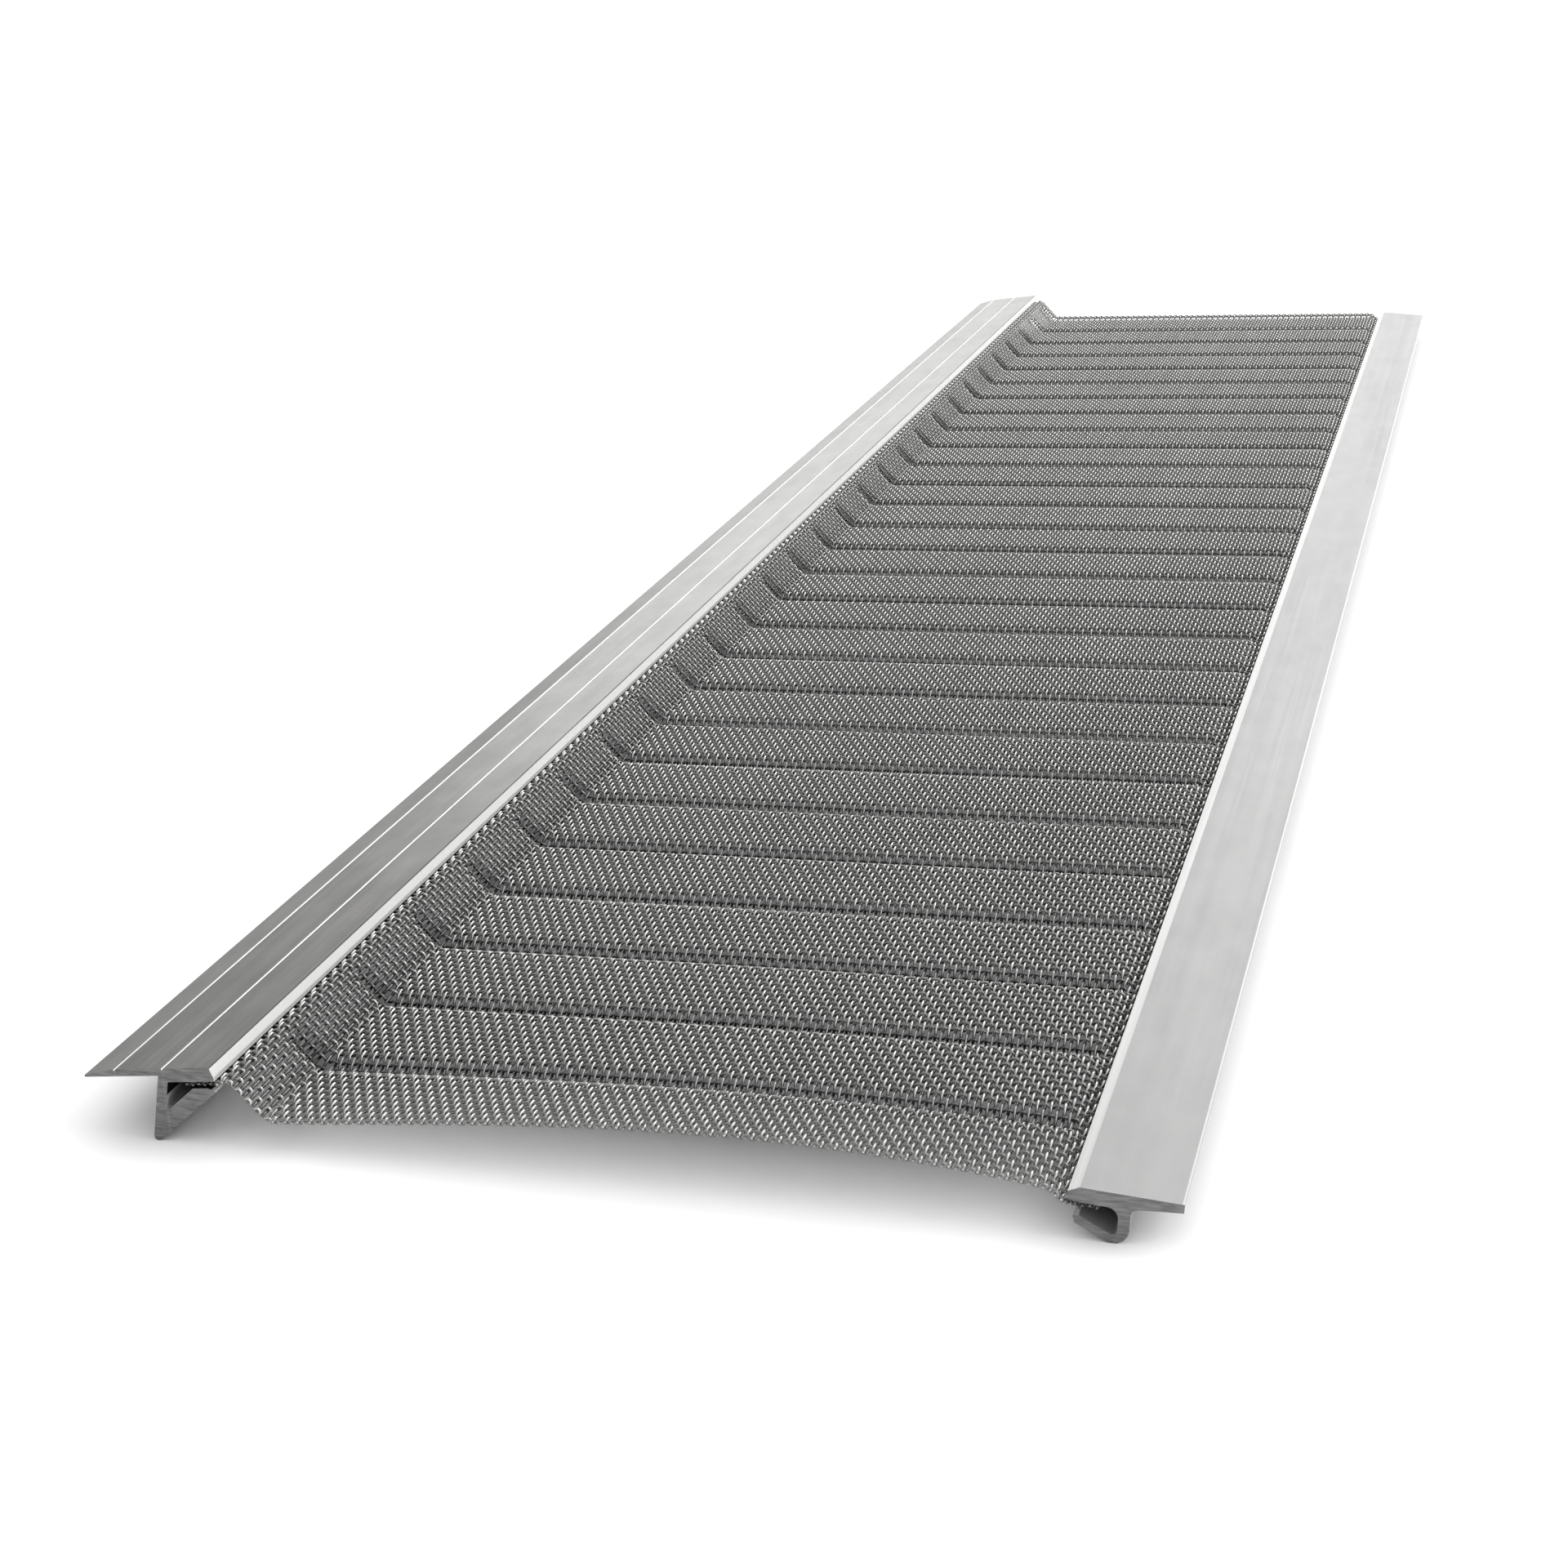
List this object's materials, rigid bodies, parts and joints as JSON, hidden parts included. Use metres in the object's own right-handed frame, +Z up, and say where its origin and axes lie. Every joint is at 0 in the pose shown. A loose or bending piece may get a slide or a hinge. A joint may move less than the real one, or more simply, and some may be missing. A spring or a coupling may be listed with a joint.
{
  "type": "gutter guard panel",
  "caption": "Long shallow gutter guard panel: corrugated woven-wire sheet held in the jaws of two extruded aluminium edge rails, one flanged, one hooked.",
  "frame": {"origin": "middle of the bounding box's bottom: below the middle of the panel, on the plane it stands on", "axes": "+X across the panel from the rear rail to the front rail, +Y along the panel, +Z up"},
  "size_m": [0.152, 0.61, 0.0121],
  "materials": {
    "rear_rail_metal": "mill grey extruded aluminium, fine lines along its length",
    "front_rail_metal": "pale brushed aluminium",
    "sheet_wire": "bright drawn stainless wire, plain weave"
  },
  "bodies": {
    "root": {"rear_rail": "rear_rail_metal", "front_rail": "front_rail_metal", "woven_sheet": "sheet_wire"}
  },
  "joints": []
}
